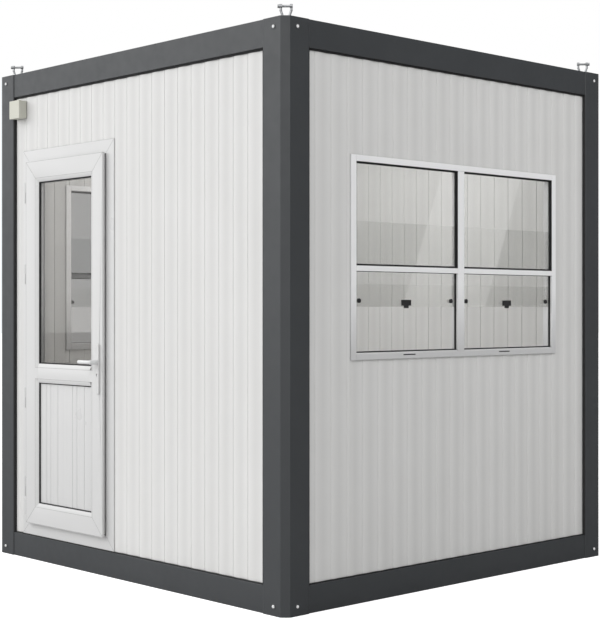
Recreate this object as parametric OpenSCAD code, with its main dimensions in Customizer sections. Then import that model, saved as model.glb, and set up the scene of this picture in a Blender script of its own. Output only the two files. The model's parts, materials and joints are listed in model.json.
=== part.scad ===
// Guard booth: a square container cabin with a bolted steel frame, ribbed sandwich walls,
// a glazed door on the left side and a serving window with lifting sashes at front and back.
// The origin is the middle of the footprint at ground level, the window wall faces -Y
// and the door wall faces -X.

/* [Booth] */
// Width and depth of the square footprint
booth_w = 2325; // [1900:5:3200]
// Height of the steel frame
booth_h = 2600; // [2150:5:3200]

/* [Steel frame] */
// Width of a corner post on each face
post_w = 147; // [120:1:200]
// Flat cut on the outer edge of a post
post_chamfer = 30; // [5:1:50]
// Bend radius of a post's edges beside the walls
post_bend = 8; // [2:0.5:12]
// Height of the top and bottom rails
rail_h = 123; // [80:1:180]
// Distance of the rails' faces behind the posts' faces
rail_recess = 5; // [0:1:12]
// Sheet thickness of the posts and rails
steel_t = 4; // [2:0.5:8]

/* [Walls] */
// Thickness of a sandwich wall panel at its ribs
wall_t = 44; // [35:1:80]
// Distance of the ribs' outer face behind the posts' faces
wall_recess = 17; // [13:1:35]
// Distance from one rib to the next
rib_pitch = 100.5; // [80:0.5:200]
// Height of a rib above the hollow between two ribs
rib_depth = 3; // [1:0.5:8]
// Width of the groove in the flank of each rib
rib_groove_w = 4.5; // [2:0.5:10]
// Depth of the groove below the middle of the flank
rib_groove_depth = 3; // [1:0.5:6]
// Place of a groove to the right of a wall's middle, seen from outside
groove_place = 37; // [-50:1:50]
// Place of a groove to the right of the door wall's middle
door_wall_groove = -7; // [-50:1:50]
// Width of the seam lines on the inner face
seam_w = 5; // [2:0.5:10]
// Depth of the seam lines on the inner face
seam_depth = 4; // [0.5:0.5:5]

/* [Floor and roof] */
// Thickness of the floor deck
deck_t = 20; // [12:1:40]
// Number of floor joists
joist_count = 5; // [3:2:9]
// Flange width of a joist
joist_w = 50; // [30:1:80]
// Thickness of the ceiling panel
ceiling_t = 25; // [12:1:50]
// Depth of the roof sheet below the top of the frame
roof_drop = 40; // [30:1:60]
// Height of a rib of the roof sheet
roof_rib_h = 18; // [8:1:25]
// Distance from one roof rib to the next
roof_rib_pitch = 207; // [150:1:300]
// Width of a roof rib at its foot
roof_rib_w = 62; // [50:1:80]
// Thickness of the roof sheet
roof_t = 2; // [1:0.5:4]
// Thickness of the covers on the posts inside the room
cover_t = 3; // [1:0.5:6]

/* [Door] */
// Outer width of the door frame
door_w = 828; // [760:1:1000]
// Height of the wall above the door frame
over_door = 300; // [100:1:500]
// Strip of wall between the door frame and the post on its hinge side
door_strip = 78; // [40:1:300]
// Height of the sill bar under the door frame
door_sill_h = 8; // [3:1:30]
// Face of the door frame that shows round the leaf
door_frame_face = 62; // [45:1:80]
// Distance of the door frame's face behind the steel frame's face
door_frame_recess = 14; // [11:1:18]
// Thickness of the door frame's stop behind the leaf
door_stop_t = 12; // [8:1:20]
// Gap between the back of the leaf and the stop
stop_gap = 5; // [5:0.5:8]
// Distance of the leaf's face in front of the steel frame's face
leaf_proud = 10; // [6:1:14]
// Lap of the leaf over the door frame
door_lap = 6; // [4:1:12]
// Gap between the leaf and the door frame, all round
door_gap = 8; // [8:0.5:12]
// Gap between the back of the leaf's lap and the frame's face
lap_gap = 11.5; // [8:0.5:14]
// Width of the leaf's stiles and rails
leaf_face = 112; // [104:1:125]
// Thickness of the leaf
leaf_t = 62; // [56:1:64]
// Width of the sloping bead beside the panes
bead_w = 20; // [10:1:24]
// Height of the middle rail
mid_rail_h = 101; // [80:1:140]
// Height of the middle rail's centre above the ground
mid_rail_z = 993; // [800:1:1150]
// Thickness of the double glass and of the lower panel
infill_t = 24; // [16:1:28]
// Thickness of one sheet of the double glass
sheet_t = 4; // [3:0.5:6]
// Depth of the groove that holds the panes
groove_depth = 14; // [8:1:20]
// Width of one plank of the lower panel
plank_w = 240; // [220:1:400]
// Width of the part plank at the left edge of the lower panel
plank_start = 54; // [10:1:120]
// Width of a panel groove
panel_groove_w = 6; // [2:0.5:10]
// Depth of a panel groove
panel_groove_depth = 2.5; // [1:0.5:4]

/* [Hinges and handle] */
// Heights of the two lower hinges above the leaf's foot
lower_hinges = [193, 665]; // [80:1:700]
// Distances of the two upper hinges below the leaf's head
upper_hinges = [164, 598]; // [80:1:700]
// Length of a hinge
hinge_h = 106; // [80:1:140]
// Diameter of a hinge knuckle
knuckle_d = 18; // [14:0.5:18]
// Diameter of a hinge pin
pin_d = 8; // [6:0.5:10]
// Height of the lever's axis above the ground
handle_z = 1066; // [950:1:1150]
// Gap between the handle plates and the door frame's stop
plate_gap = 6; // [5:1:30]
// Length of a handle plate
plate_h = 248; // [200:1:300]
// Width of a handle plate
plate_w = 30; // [26:1:36]
// Thickness of a handle plate
plate_t = 9; // [5:0.5:12]
// Distance from the plate to the middle of the lever's grip
lever_reach = 38; // [30:1:55]
// Length of the lever's grip
lever_length = 100; // [90:1:130]
// Diameter of the lever
lever_d = 18; // [14:1:20]
// Diameter of the lever's neck
neck_d = 23; // [20:0.5:24]
// Distance of the keyhole below the lever's axis
lock_drop = 61; // [50:1:92]
// Diameter of the round part of the keyhole
keyhole_d = 9; // [6:0.5:12]
// Length of the slot under the round part of the keyhole
keyhole_slot = 11; // [8:0.5:16]

/* [Windows] */
// Strip of wall at each side of a window
window_side = 258.5; // [80:0.5:500]
// Distance of a window's middle to the right of the wall's middle, seen from outside
window_shift = 9.5; // [0:0.5:60]
// Distance of a window's face behind the steel frame's face
window_recess = 10; // [0:1:16]
// Distance that a window's frame stands into the room
window_lip = 8; // [0:1:15]
// Outer height of a window frame
window_h = 930; // [860:5:1100]
// Height of the wall above a window
over_window = 446; // [100:1:600]
// Face of the side posts of a window frame
window_jamb = 33; // [26:1:50]
// Face of the head of a window frame
window_head = 29; // [24:1:50]
// Face of the sill of a window frame
window_sill = 36; // [30:1:60]
// Face of the middle post
mullion_w = 47; // [36:1:70]
// Depth of the middle post
mullion_d = 41; // [38:1:45]
// Face of the crossbar between the upper and lower lights
transom_h = 25; // [20:1:40]
// Height of the crossbar's middle above the window's foot
transom_z = 416; // [380:1:450]
// Thickness of the window glass
glass_t = 4; // [3:0.5:6]
// Distance of the fixed glass behind the window frame's face
fixed_inset = 13; // [10:1:16]
// Distance of the sliding glass behind the crossbar
sash_play = 2; // [1:0.5:5]
// Height of the sliding glass
sash_h = 390; // [375:1:400]
// Height of the open gap under the sliding glass
hatch_gap = 206; // [150:1:240]
// Depth of the grooves that hold the window glass
glass_groove = 8; // [5:0.5:12]
// Length of the drain slots in the sill
drain_w = 84; // [40:1:120]
// Places of the drain slots' middles beside the middle post
drain_places = [-370, 333]; // [-600:1:600]
// Height of the drain slots in the sill
drain_h = 5; // [3:0.5:8]
// Width of the catch at the foot of a sash
catch_w = 63; // [40:1:90]
// Height of the catch at the foot of a sash
catch_h = 27; // [18:1:40]
// Diameter of the side knobs of a sash
knob_d = 21; // [12:1:24]
// Distance of the side knobs from the edges of the light
knob_inset = 33; // [20:1:60]

/* [Lifting eyes and junction box] */
// Height of a lifting eye above the post
eye_h = 66; // [55:1:90]
// Width of a lifting eye across its lugs
eye_w = 58; // [50:1:80]
// Diameter of the eye's bar
eye_bar_d = 11; // [8:0.5:14]
// Diameter of the eye's round foot
eye_foot_d = 36; // [32:1:50]
// Diameter of the lugs that hold the eye's pin
lug_d = 19; // [16:1:24]
// Width and height of the junction box
box_w = 96; // [80:1:120]
// Depth of the junction box from the wall
box_d = 48; // [30:1:70]
// Distance of the junction box below the top rail
box_drop = 27; // [5:1:60]
// Distance of the junction box from the post
box_gap = 10; // [2:1:60]

/* [Hidden] */

// Turn about the vertical that takes the front side to each other side
FRONT = 0;
RIGHT = 90;
BACK = 180;
LEFT = 270;

// Colours of the finishes
STEEL_GREY = [0.27, 0.29, 0.31];
WALL_WHITE = [0.86, 0.86, 0.84];
DOOR_WHITE = [0.94, 0.94, 0.93];
WINDOW_WHITE = [0.85, 0.86, 0.86];
GLASS_GREY = [0.70, 0.75, 0.76, 0.45];
CATCH_BLACK = [0.06, 0.06, 0.06];
ZINC_GREY = [0.66, 0.67, 0.68];
BOX_CREAM = [0.84, 0.84, 0.77];
FLOOR_GREY = [0.52, 0.50, 0.47];

seat = 0.3;
through = 1;
round_fn = 48;
rib_steps = 8;
bend_steps = 6;
wall_inner = wall_recess + wall_t;
clear_w = booth_w - 2 * post_w;
room_z0 = rail_h;
room_z1 = booth_h - rail_h;
room_half = booth_w / 2 - wall_inner;
post_corner = booth_w / 2 - post_w;

// Depth of a wall's outer sheet, a soft wave whose flank at zero faces left
function rib_wave(u) = rib_depth / 2 * (1 - sin(360 * u / rib_pitch));

// Outlines of one rib from groove to groove and of one inner sheet, as place and depth
groove_foot = rib_depth / 2 + rib_groove_depth;
rib_table = concat(
    [[0, groove_foot]],
    [
        for (i = [0 : rib_steps])
            let (u = rib_groove_w / 2 + (rib_pitch - rib_groove_w) * i / rib_steps) [u, rib_wave(u)]
    ],
    [[rib_pitch, groove_foot]]
);
seam_table = [
    [0, seam_depth],
    [seam_w / 2, 0],
    [rib_pitch - seam_w / 2, 0],
    [rib_pitch, seam_depth]
];

// Depth of a repeating outline at one place along it
function outline_depth(u, table, pitch) = lookup(u - pitch * floor(u / pitch), table);

// Points of a repeating outline from one end of a panel to the other
function outline_points(u0, u1, table, pitch) = concat(
    [[u0, outline_depth(u0, table, pitch)]],
    [
        for (i = [floor(u0 / pitch) : floor(u1 / pitch)])
            for (k = [0 : len(table) - 2])
                let (u = i * pitch + table[k][0])
                    if (u > u0 + seat && u < u1 - seat) [u, table[k][1]]
    ],
    [[u1, outline_depth(u1, table, pitch)]]
);

function reversed(points) = [for (i = [len(points) - 1 : -1 : 0]) points[i]];

// Points of a quarter bend about a centre, from a starting angle
function quarter_bend(centre, radius, start) = [
    for (i = [0 : bend_steps])
        let (angle = start + 90 * i / bend_steps) centre + radius * [cos(angle), sin(angle)]
];

// Places children drawn for the front side on another side.
// There x runs to the right seen from outside and y runs inward from the frame's face.
module on_side(turn) {
    rotate([0, 0, turn]) translate([0, -booth_w / 2, 0]) children();
}

// Places children drawn at a corner, with x and y running inward from the sharp corner
module at_corner(turn) {
    rotate([0, 0, turn]) translate([-booth_w / 2, -booth_w / 2, 0]) children();
}

// A box from one corner to the opposite one
module block(low, high) {
    translate(low) cube(high - low);
}

// Steel frame

module post_outline(inset) {
    cut = post_chamfer + inset * (2 - sqrt(2));
    far = post_w - inset;
    bend = max(post_bend - inset, seat);
    polygon(concat(
        [[cut, inset]],
        quarter_bend([far - bend, inset + bend], bend, -90),
        [[far, far]],
        quarter_bend([inset + bend, far - bend], bend, 90),
        [[inset, cut]]
    ));
}

module post(turn) {
    color(STEEL_GREY) at_corner(turn) difference() {
        linear_extrude(booth_h) post_outline(0);
        translate([0, 0, steel_t]) linear_extrude(booth_h - 2 * steel_t) post_outline(steel_t);
    }
}

module rail(turn, z) {
    color(STEEL_GREY) on_side(turn) difference() {
        block([-clear_w / 2, rail_recess, z], [clear_w / 2, wall_inner, z + rail_h]);
        block(
            [-clear_w / 2 - through, rail_recess + steel_t, z + steel_t],
            [clear_w / 2 + through, wall_inner - steel_t, z + rail_h - steel_t]
        );
    }
}

module top_rail(turn) {
    rail(turn, booth_h - rail_h);
}

module bottom_rail(turn) {
    rail(turn, 0);
}

// Floor, ceiling and roof

// Plan of the room between the rails, notched round the posts
module room_plan() {
    difference() {
        square(2 * room_half, center = true);
        for (sx = [-1, 1], sy = [-1, 1])
            translate([sx * booth_w / 2, sy * booth_w / 2]) square(2 * post_w, center = true);
    }
}

module joist_outline() {
    joist_h = rail_h - deck_t;
    translate([-joist_w / 2, 0]) difference() {
        square([joist_w, joist_h]);
        translate([steel_t, steel_t]) square([joist_w, joist_h - 2 * steel_t]);
    }
}

module floor_joists() {
    joist_span = 2 * post_corner - joist_w;
    joist_step = joist_span / (joist_count - 1);
    color(STEEL_GREY) for (i = [0 : joist_count - 1])
        translate([-room_half, -joist_span / 2 + i * joist_step, 0])
            rotate([90, 0, 90]) linear_extrude(2 * room_half) joist_outline();
}

module floor_deck() {
    color(FLOOR_GREY) translate([0, 0, room_z0 - deck_t]) linear_extrude(deck_t) room_plan();
}

module ceiling_panel() {
    color(WALL_WHITE) translate([0, 0, room_z1]) linear_extrude(ceiling_t) room_plan();
}

// Profile of the roof sheet across its ribs
function roof_profile(lift) = [
    for (i = [-ceil(room_half / roof_rib_pitch) : ceil(room_half / roof_rib_pitch)])
        for (step = [[-0.5, 0], [-0.25, 1], [0.25, 1], [0.5, 0]])
            [i * roof_rib_pitch + step[0] * roof_rib_w, step[1] * roof_rib_h + lift]
];

module roof_sheet() {
    color(STEEL_GREY) intersection() {
        translate([-room_half - through, 0, booth_h - roof_drop])
            rotate([90, 0, 90])
                linear_extrude(2 * room_half + 2 * through)
                    polygon(concat(roof_profile(0), reversed(roof_profile(-roof_t))));
        translate([0, 0, room_z1]) linear_extrude(rail_h) room_plan();
    }
}

module corner_covers() {
    outer = post_w + cover_t;
    color(WALL_WHITE) for (turn = [FRONT, RIGHT, BACK, LEFT])
        at_corner(turn) translate([0, 0, room_z0]) linear_extrude(room_z1 - room_z0)
            polygon([
                [wall_inner, post_w],
                [post_w, post_w],
                [post_w, wall_inner],
                [outer, wall_inner],
                [outer, outer],
                [wall_inner, outer]
            ]);
}

// Walls

// A piece of ribbed wall panel, with one of its grooves at a given place along the wall
module wall_panel(u0, u1, z0, z1, groove = groove_place) {
    outer = [
        for (p = outline_points(u0 - groove, u1 - groove, rib_table, rib_pitch))
            [p[0] + groove, wall_recess + p[1]]
    ];
    inner = [
        for (p = outline_points(u0 - groove, u1 - groove, seam_table, rib_pitch))
            [p[0] + groove, wall_inner - p[1]]
    ];
    translate([0, 0, z0]) linear_extrude(z1 - z0) polygon(concat(outer, reversed(inner)));
}

window_w = clear_w - 2 * window_side;
window_u0 = window_shift - window_w / 2;
window_u1 = window_shift + window_w / 2;
window_z = room_z1 - over_window - window_h;

module wall_sides(turn) {
    color(WALL_WHITE) on_side(turn) {
        wall_panel(-clear_w / 2, window_u0, room_z0, room_z1);
        wall_panel(window_u1, clear_w / 2, room_z0, room_z1);
    }
}

module wall_below_window(turn) {
    color(WALL_WHITE) on_side(turn) wall_panel(window_u0, window_u1, room_z0, window_z);
}

module wall_above_window(turn) {
    color(WALL_WHITE) on_side(turn)
        wall_panel(window_u0, window_u1, window_z + window_h, room_z1);
}

// The door stands at the left end of its wall seen from outside
door_u0 = -clear_w / 2 + door_strip;
door_u1 = door_u0 + door_w;
door_z0 = room_z0;
door_z1 = room_z1 - over_door;
door_h = door_z1 - door_z0;

module door_wall_panel(u0, u1, z0, z1) {
    color(WALL_WHITE) on_side(LEFT) wall_panel(u0, u1, z0, z1, door_wall_groove);
}

module door_wall_hinge_side() {
    door_wall_panel(-clear_w / 2, door_u0, room_z0, room_z1);
}

module door_wall_lock_side() {
    door_wall_panel(door_u1, clear_w / 2, room_z0, room_z1);
}

module door_wall_over_door() {
    door_wall_panel(door_u0, door_u1, door_z1, room_z1);
}

module right_wall() {
    color(WALL_WHITE) on_side(RIGHT) wall_panel(-clear_w / 2, clear_w / 2, room_z0, room_z1);
}

// Windows

transom_low = window_z + transom_z - transom_h / 2;
transom_high = transom_low + transom_h;
light_z0 = window_z + window_sill;
light_z1 = window_z + window_h - window_head;
light_inner = mullion_w / 2;
light_outer = window_w / 2 - window_jamb;
sash_z0 = light_z0 + hatch_gap;
sash_z1 = sash_z0 + sash_h;
transom_back = 3;
transom_d = fixed_inset + glass_t + transom_back;
sash_inset = transom_d + sash_play;
window_d = wall_inner + window_lip - window_recess;
mullion_foot = window_sill / 4;

// Places children drawn from a window's middle, with y running inward from its face
module at_window(turn) {
    on_side(turn) translate([window_shift, window_recess, 0]) children();
}

// Groove for the edge of a sheet of glass, cut round the two lights of a window
module glass_channel(inset, z0, z1) {
    for (side = [-1, 1])
        translate([side * (light_inner + light_outer) / 2, 0, 0])
            block(
                [-(light_outer - light_inner) / 2 - glass_groove, inset - seat, z0],
                [(light_outer - light_inner) / 2 + glass_groove, inset + glass_t + seat, z1]
            );
}

module window_channels() {
    glass_channel(fixed_inset, transom_high - glass_groove, light_z1 + glass_groove);
    glass_channel(sash_inset, light_z0, light_z1);
}

module window_uprights(turn) {
    color(WINDOW_WHITE) at_window(turn) difference() {
        union() {
            for (side = [-1, 1])
                translate([side * (light_outer + window_w / 2) / 2, 0, 0])
                    block(
                        [-window_jamb / 2, 0, window_z],
                        [window_jamb / 2, window_d, window_z + window_h]
                    );
            block([-light_inner, 0, light_z0], [light_inner, mullion_d, light_z1]);
            block([-light_inner, 0, light_z0 - mullion_foot], [light_inner, sash_inset - seat, light_z0]);
        }
        window_channels();
    }
}

// The sill's upper face slopes outward
module sill() {
    slope = window_sill / 5;
    rotate([90, 0, 90]) translate([0, window_z, -light_outer]) linear_extrude(2 * light_outer)
        polygon([
            [0, 0],
            [window_d, 0],
            [window_d, window_sill],
            [sash_inset - seat, window_sill],
            [0, window_sill - slope]
        ]);
}

module window_crossbars(turn) {
    drain_z = window_z + window_sill / 2;
    color(WINDOW_WHITE) at_window(turn) difference() {
        union() {
            block([-light_outer, 0, light_z1], [light_outer, window_d, window_z + window_h]);
            sill();
            block([-light_outer, 0, transom_low], [-light_inner, transom_d, transom_high]);
            block([light_inner, 0, transom_low], [light_outer, transom_d, transom_high]);
        }
        window_channels();
        block(
            [-light_inner, -through, light_z0 - mullion_foot],
            [light_inner, sash_inset - seat, light_z0]
        );
        for (place = drain_places)
            translate([place, 0, drain_z])
                block([-drain_w / 2, -through, -drain_h / 2], [drain_w / 2, glass_groove, drain_h / 2]);
    }
}

// One sheet of glass in each light of both windows
module panes(inset, z0, z1) {
    reach = glass_groove - seat;
    for (turn = [FRONT, BACK], side = [-1, 1])
        at_window(turn) translate([side * (light_inner + light_outer) / 2, 0, 0])
            block(
                [-(light_outer - light_inner) / 2 - reach, inset, z0],
                [(light_outer - light_inner) / 2 + reach, inset + glass_t, z1]
            );
}

module fixed_panes() {
    color(GLASS_GREY) panes(fixed_inset, transom_high - glass_groove + seat, light_z1 + glass_groove - seat);
}

module sliding_panes() {
    color(GLASS_GREY) panes(sash_inset, sash_z0, sash_z1);
}

catch_lift = 5;
tab_drop = 7;

// The catch at the foot of a sash has a thumb tab below the glass
module sash_catch() {
    catch_t = 6;
    tab_w = catch_w * 4 / 9;
    block([-catch_w / 2, -catch_t, catch_lift], [catch_w / 2, 0, catch_lift + catch_h]);
    block([-tab_w / 2, -catch_t, -tab_drop], [tab_w / 2, 0, catch_lift]);
}

module sash_knob() {
    knob_t = 8;
    rotate([90, 0, 0]) cylinder(h = knob_t, d = knob_d, $fn = round_fn);
}

module sash_catches() {
    light_w = light_outer - light_inner;
    color(CATCH_BLACK) for (turn = [FRONT, BACK], side = [-1, 1])
        at_window(turn) translate([side * (light_inner + light_outer) / 2, sash_inset, sash_z0]) {
            sash_catch();
            for (edge = [-1, 1])
                translate([edge * (light_w / 2 - knob_inset), 0, catch_h]) sash_knob();
        }
}

// Door frame and leaf

leaf_u0 = door_u0 + door_frame_face;
leaf_u1 = door_u1 - door_frame_face;
leaf_z0 = door_z0 + door_sill_h + door_frame_face;
leaf_z1 = door_z1 - door_frame_face;
leaf_w = leaf_u1 - leaf_u0;
leaf_h = leaf_z1 - leaf_z0;
lap_t = door_frame_recess + leaf_proud - lap_gap;
stop_w = door_gap + door_lap / 2;
stop_r = leaf_t - leaf_proud + stop_gap;
door_frame_inner = stop_r + door_stop_t;
infill_r = (leaf_t - infill_t) / 2;
bead_depth = bead_w / 2;

// Places children drawn on the door's side, with y running inward from the leaf's face
module on_leaf() {
    on_side(LEFT) translate([0, -leaf_proud, 0]) children();
}

// Profile of the door frame from its outer edge inward, with a stop behind the leaf
module door_frame_profile() {
    member_w = door_frame_face + door_lap;
    polygon([
        [0, door_frame_recess],
        [member_w, door_frame_recess],
        [member_w, stop_r],
        [member_w + stop_w, stop_r],
        [member_w + stop_w, door_frame_inner],
        [0, door_frame_inner]
    ]);
}

// Profile of the leaf's stiles and rails, with the lap, sloping beads and the groove for the panes
module leaf_profile() {
    body = door_lap + door_gap;
    polygon([
        [0, 0],
        [leaf_face - bead_w, 0],
        [leaf_face, bead_depth],
        [leaf_face, infill_r - seat],
        [leaf_face - groove_depth, infill_r - seat],
        [leaf_face - groove_depth, infill_r + infill_t + seat],
        [leaf_face, infill_r + infill_t + seat],
        [leaf_face, leaf_t - bead_depth],
        [leaf_face - bead_w, leaf_t],
        [body, leaf_t],
        [body, lap_t],
        [0, lap_t]
    ]);
}

// Upright member of a mitred frame of size w by h, its outer edge at x = 0
module upright_member(w, h) {
    intersection() {
        linear_extrude(h) children();
        translate([0, booth_w / 4, 0]) rotate([90, 0, 0]) linear_extrude(booth_w / 2)
            polygon([[0, 0], [w / 2, w / 2], [w / 2, h - w / 2], [0, h]]);
    }
}

// Foot member of a mitred frame of width w, its outer edge at z = 0
module foot_member(w) {
    intersection() {
        translate([w, 0, 0]) rotate([0, -90, 0]) linear_extrude(w) children();
        translate([0, booth_w / 4, 0]) rotate([90, 0, 0]) linear_extrude(booth_w / 2)
            polygon([[0, 0], [w, 0], [w / 2, w / 2]]);
    }
}

// Two upright members, one at each side
module uprights(w, h) {
    upright_member(w, h) children();
    translate([w, 0, 0]) mirror([1, 0, 0]) upright_member(w, h) children();
}

// The foot member and the head member
module foot_and_head(w, h) {
    foot_member(w) children();
    translate([0, 0, h]) mirror([0, 0, 1]) foot_member(w) children();
}

module door_frame_jambs() {
    color(DOOR_WHITE) on_side(LEFT) translate([door_u0, 0, door_z0 + door_sill_h])
        uprights(door_w, door_h - door_sill_h) door_frame_profile();
}

module door_frame_crosspieces() {
    color(DOOR_WHITE) on_side(LEFT) translate([door_u0, 0, door_z0]) {
        translate([0, 0, door_sill_h])
            foot_and_head(door_w, door_h - door_sill_h) door_frame_profile();
        block([0, door_frame_recess, 0], [door_w, door_frame_inner, door_sill_h]);
    }
}

module door_stiles() {
    bore_d = lever_d;
    color(DOOR_WHITE) on_leaf() difference() {
        translate([leaf_u0, 0, leaf_z0]) uprights(leaf_w, leaf_h) leaf_profile();
        translate([handle_u, -through, handle_z]) rotate([-90, 0, 0])
            cylinder(h = leaf_t + 2 * through, d = bore_d, $fn = round_fn);
    }
}

// The middle rail has beads and grooves along both edges
module mid_rail() {
    rotate([90, 0, 90]) linear_extrude(leaf_w - 2 * leaf_face) difference() {
        polygon([
            [0, bead_w],
            [0, mid_rail_h - bead_w],
            [bead_depth, mid_rail_h],
            [leaf_t - bead_depth, mid_rail_h],
            [leaf_t, mid_rail_h - bead_w],
            [leaf_t, bead_w],
            [leaf_t - bead_depth, 0],
            [bead_depth, 0]
        ]);
        for (z = [0, mid_rail_h])
            translate([infill_r - seat, z - groove_depth])
                square([infill_t + 2 * seat, 2 * groove_depth]);
    }
}

mid_rail_low = mid_rail_z - mid_rail_h / 2;
mid_rail_high = mid_rail_low + mid_rail_h;

module door_rails() {
    color(DOOR_WHITE) on_leaf() {
        translate([leaf_u0, 0, leaf_z0]) foot_and_head(leaf_w, leaf_h) leaf_profile();
        translate([leaf_u0 + leaf_face, 0, mid_rail_low]) mid_rail();
    }
}

// The panes reach into the grooves of the leaf
infill_u0 = leaf_u0 + leaf_face - groove_depth + seat;
infill_u1 = leaf_u1 - leaf_face + groove_depth - seat;

module door_glass() {
    z0 = mid_rail_high - groove_depth + seat;
    z1 = leaf_z1 - leaf_face + groove_depth - seat;
    color(GLASS_GREY) on_leaf() for (r = [infill_r, infill_r + infill_t - sheet_t])
        block([infill_u0, r, z0], [infill_u1, r + sheet_t, z1]);
}

// Grooves of one plank, as place and share of the full depth
PLANK_GROOVES = [[20, 1], [59, 1], [86, 0.4], [125, 1], [176, 0.4], [209, 0.4]];
plank_table = concat(
    [[0, 0]],
    [
        for (groove = PLANK_GROOVES)
            for (step = [[-1, 0], [0, 1], [1, 0]])
                [groove[0] + step[0] * panel_groove_w / 2, step[1] * groove[1] * panel_groove_depth]
    ],
    [[plank_w, 0]]
);

module door_lower_panel() {
    z0 = leaf_z0 + leaf_face - groove_depth + seat;
    z1 = mid_rail_low + groove_depth - seat;
    points = outline_points(-plank_start, infill_u1 - infill_u0 - plank_start, plank_table, plank_w);
    outer = points;
    inner = [for (p = points) [p[0], infill_t - p[1]]];
    color(DOOR_WHITE) on_leaf() translate([infill_u0 + plank_start, infill_r, z0])
        linear_extrude(z1 - z0) polygon(concat(outer, reversed(inner)));
}

// Hinges: the axis stands just outside the leaf's edge, at the middle of its lap

hinge_clear = 2;
hinge_u = leaf_u0 - knuckle_d / 2 - hinge_clear;
hinge_r = lap_t / 2 - leaf_proud;
hinge_z = concat([for (h = lower_hinges) leaf_z0 + h], [for (h = upper_hinges) leaf_z1 - h]);

module frame_hinges() {
    plate_reach = knuckle_d * 1.4;
    color(DOOR_WHITE) on_side(LEFT) for (z = hinge_z)
        translate([hinge_u, hinge_r, z]) {
            translate([0, 0, -hinge_h / 2]) cylinder(h = hinge_h / 2 - seat, d = knuckle_d, $fn = round_fn);
            translate([0, 0, -hinge_h / 4]) cylinder(h = hinge_h * 5 / 8, d = pin_d, $fn = round_fn);
            block(
                [-plate_reach, knuckle_d / 4, -hinge_h / 2],
                [0, door_frame_recess - hinge_r, -seat]
            );
        }
}

module door_hinges() {
    bore_d = pin_d + 2 * seat;
    color(DOOR_WHITE) on_side(LEFT) for (z = hinge_z)
        translate([hinge_u, hinge_r, z]) difference() {
            union() {
                translate([0, 0, seat]) cylinder(h = hinge_h / 2 - seat, d = knuckle_d, $fn = round_fn);
                block([0, -lap_t / 2, seat], [knuckle_d / 2 + hinge_clear, lap_t / 2, hinge_h / 2]);
            }
            translate([0, 0, -through])
                cylinder(h = hinge_h * 3 / 8 + 2 * through, d = bore_d, $fn = round_fn);
        }
}

// Handle: long plates on both faces, and a lever on each side of one spindle

handle_u = leaf_u1 - door_lap - stop_w - plate_gap - plate_w / 2;
lever_below_top = 90;
plate_corner_r = 6;
neck_gap = 1;
spindle_d = lever_d * 2 / 3;

// A plate's outline, with rounded corners, its bore for the lever's neck and its keyhole
module plate_outline() {
    top = lever_below_top;
    bottom = top - plate_h;
    side = plate_w / 2;
    difference() {
        union() {
            translate([-side, bottom + plate_corner_r]) square([plate_w, plate_h - 2 * plate_corner_r]);
            translate([-side + plate_corner_r, bottom]) square([plate_w - 2 * plate_corner_r, plate_h]);
            for (x = [-side + plate_corner_r, side - plate_corner_r])
                for (z = [bottom + plate_corner_r, top - plate_corner_r])
                    translate([x, z]) circle(r = plate_corner_r, $fn = round_fn);
        }
        circle(d = neck_d + 2 * neck_gap, $fn = round_fn);
        translate([0, -lock_drop]) circle(d = keyhole_d, $fn = round_fn);
        translate([-keyhole_d / 4, -lock_drop - keyhole_slot]) square([keyhole_d / 2, keyhole_slot]);
    }
}

module handle_plate() {
    rotate([90, 0, 0]) linear_extrude(plate_t) plate_outline();
}

module handle_plates() {
    color(DOOR_WHITE) on_leaf() translate([handle_u, 0, handle_z]) {
        handle_plate();
        translate([0, leaf_t, 0]) mirror([0, 1, 0]) handle_plate();
    }
}

// A lever: a stout neck out of the plate with a domed end, then a grip towards the hinges
module lever() {
    grip_y = -plate_t - lever_reach;
    rotate([90, 0, 0]) cylinder(h = -grip_y, d = neck_d, $fn = round_fn);
    translate([0, grip_y, 0]) {
        sphere(d = neck_d, $fn = round_fn);
        rotate([0, -90, 0]) cylinder(h = lever_length, d = lever_d, $fn = round_fn);
        translate([-lever_length, 0, 0]) sphere(d = lever_d, $fn = round_fn);
    }
}

module door_handle() {
    color(ZINC_GREY) on_leaf() translate([handle_u, 0, handle_z]) {
        lever();
        translate([0, leaf_t, 0]) mirror([0, 1, 0]) lever();
        translate([0, -through, 0]) rotate([-90, 0, 0])
            cylinder(h = leaf_t + 2 * through, d = spindle_d, $fn = round_fn);
    }
}

// Lifting eyes: a pear-shaped bar loop on a round foot, with a pin through two lugs at its top

eye_foot_h = 6;
eye_foot_rim = 1;
shoulder_swell = 1.5;
lug_w = 12;
pin_head_w = 8;
pin_head_d = lug_d - 3;

// A bar from one point of the eye's plane to another
module eye_bar(from, to) {
    run = to - from;
    translate([from[0], 0, from[1]]) rotate([0, atan2(run[0], run[1]), 0])
        cylinder(h = norm(run), d = eye_bar_d, $fn = round_fn);
}

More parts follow.
